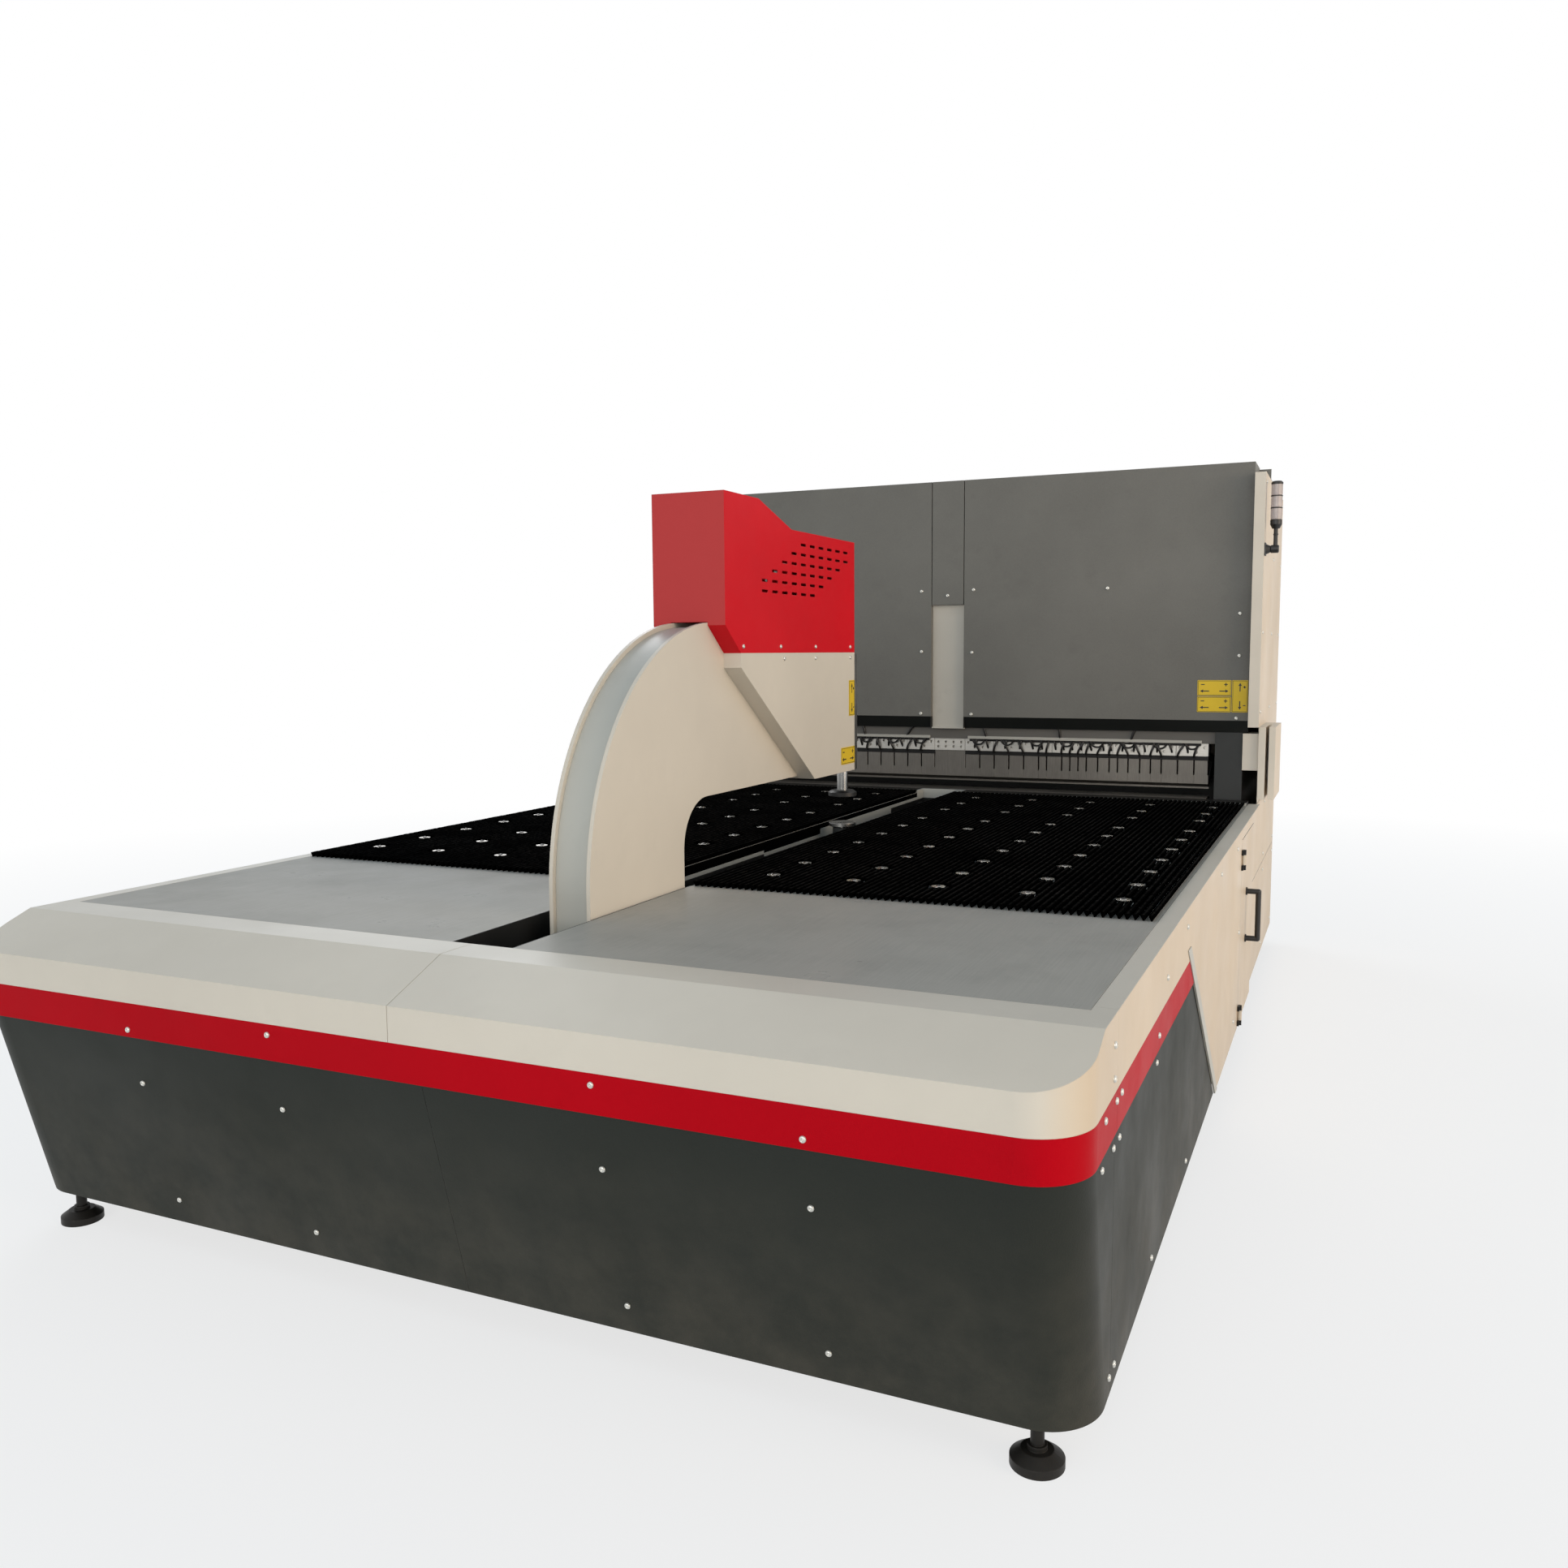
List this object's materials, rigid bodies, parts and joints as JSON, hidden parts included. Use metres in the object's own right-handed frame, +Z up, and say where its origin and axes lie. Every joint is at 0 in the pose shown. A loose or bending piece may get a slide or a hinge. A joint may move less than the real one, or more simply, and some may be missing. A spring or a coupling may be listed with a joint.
{
  "type": "sheet metal panel bending machine",
  "caption": "Panel bending centre: brush feed table with a sliding C-shaped manipulator arm that clamps and turns a sheet in front of a hooded bending head with segmented tools.",
  "frame": {"origin": "centre of the footprint, on the floor under the levelling feet", "axes": "+Z up, +Y from the table's front face to the bending head, +X to the right seen from the front"},
  "size_m": [3.12, 5.25, 2.444],
  "materials": {
    "white_paint": "satin powder coat",
    "red_paint": "satin powder coat",
    "dark_paint": "fine texture powder coat",
    "frame_paint": "satin paint",
    "hood_paint": "satin powder coat",
    "grey_paint": "satin paint",
    "deck_steel": "brushed",
    "brush_nylon": "matte bristles",
    "bright_steel": "ground",
    "tool_steel": "ground tool steel",
    "holder_metal": "milled",
    "machined_metal": "machined",
    "black_metal": "black oxide",
    "black_plastic": "moulded",
    "lens_plastic": "moulded"
  },
  "bodies": {
    "machine": {"front_cowl_left": "white_paint", "front_cowl_right": "white_paint", "side_panel_left": "white_paint", "side_panel_right": "white_paint", "head_cover_left": "white_paint", "head_cover_right": "white_paint", "base_panels": "white_paint", "rear_cover": "white_paint", "red_band": "red_paint", "front_skirt_left": "dark_paint", "front_skirt_right": "dark_paint", "side_skirts": "dark_paint", "base_frame": "frame_paint", "side_frame_left": "frame_paint", "side_frame_right": "frame_paint", "head_bed": "frame_paint", "crown_beam": "frame_paint", "hood_left": "hood_paint", "hood_right": "hood_paint", "hood_strip": "hood_paint", "top_cover": "hood_paint", "edge_trims": "grey_paint", "slot_trim": "grey_paint", "channel_plate": "grey_paint", "deck_plate_left": "deck_steel", "deck_plate_right": "deck_steel", "brush_bed_left": "brush_nylon", "brush_bed_right": "brush_nylon", "ball_units": "bright_steel", "arm_rails": "bright_steel", "beam_cylinders": "bright_steel", "lower_tool": "tool_steel", "door_hinges": "black_metal", "levelling_feet": "black_metal", "tower_bracket": "black_plastic"},
    "arm": {"arm_plate_left": "white_paint", "arm_plate_right": "white_paint", "arm_web": "grey_paint", "arm_carriage": "machined_metal", "head_shell_upper": "red_paint", "head_shell_lower": "white_paint", "arm_nose": "machined_metal", "turntable_drive": "frame_paint"},
    "press_spindle": {"press_rod": "bright_steel"},
    "press_pad": {"press_pad": "black_plastic"},
    "turntable": {"turntable": "bright_steel"},
    "feed_screw": {"feed_screw": "bright_steel"},
    "upper_beam": {"upper_beam": "grey_paint", "tool_holders": "holder_metal", "clamp_strip": "black_metal", "tool_segments": "tool_steel", "air_manifold": "black_plastic"},
    "bend_saddle": {"bend_saddle": "machined_metal"},
    "bend_frame": {"bend_frame": "frame_paint", "bend_blades": "tool_steel"},
    "door_left": {"door_left": "white_paint", "handle_left": "black_plastic"},
    "door_right": {"door_right": "white_paint", "handle_right": "black_plastic"},
    "signal_tower": {"signal_tower": "lens_plastic"}
  },
  "joints": [
    {"name": "arm_feed", "type": "slide", "parent": "machine", "child": "arm", "axis": [0, 1, 0], "range_m": [-0.3, 1.28]},
    {"name": "press_stroke", "type": "slide", "parent": "arm", "child": "press_spindle", "axis": [0, 0, 1], "range_m": [-0.105, 0.08]},
    {"name": "pad_turn", "type": "hinge", "parent": "press_spindle", "child": "press_pad", "pos_m": [0, -0.003, 1.035], "axis": [0, 0, 1], "continuous": true},
    {"name": "table_turn", "type": "hinge", "parent": "arm", "child": "turntable", "pos_m": [0, -0.003, 0.9], "axis": [0, 0, 1], "continuous": true},
    {"name": "screw_turn", "type": "hinge", "parent": "machine", "child": "feed_screw", "pos_m": [0, 0, 0.585], "axis": [0, 1, 0], "range_deg": [-2200, 9300]},
    {"name": "beam_stroke", "type": "slide", "parent": "machine", "child": "upper_beam", "axis": [0, 0, 1], "range_m": [-0.04, 0.12]},
    {"name": "bend_reach", "type": "slide", "parent": "machine", "child": "bend_saddle", "axis": [0, 1, 0], "range_m": [-0.008, 0.012]},
    {"name": "bend_lift", "type": "slide", "parent": "bend_saddle", "child": "bend_frame", "axis": [0, 0, 1], "range_m": [-0.05, 0.05]},
    {"name": "door_left_swing", "type": "hinge", "parent": "machine", "child": "door_left", "pos_m": [-1.508, 0.4825, 0.45], "axis": [0, 0, 1], "range_deg": [0, 110]},
    {"name": "door_right_swing", "type": "hinge", "parent": "machine", "child": "door_right", "pos_m": [1.508, 0.4825, 0.45], "axis": [0, 0, 1], "range_deg": [-110, 0]},
    {"name": "tower_fold", "type": "hinge", "parent": "machine", "child": "signal_tower", "pos_m": [1.53, 1.395, 2.05], "axis": [1, 0, 0], "range_deg": [-90, 0]}
  ],
  "couplings": [
    {"joint": "pad_turn", "follows": "table_turn", "ratio": 1},
    {"joint": "screw_turn", "follows": "arm_feed", "rad_per_m": 125.66}
  ]
}
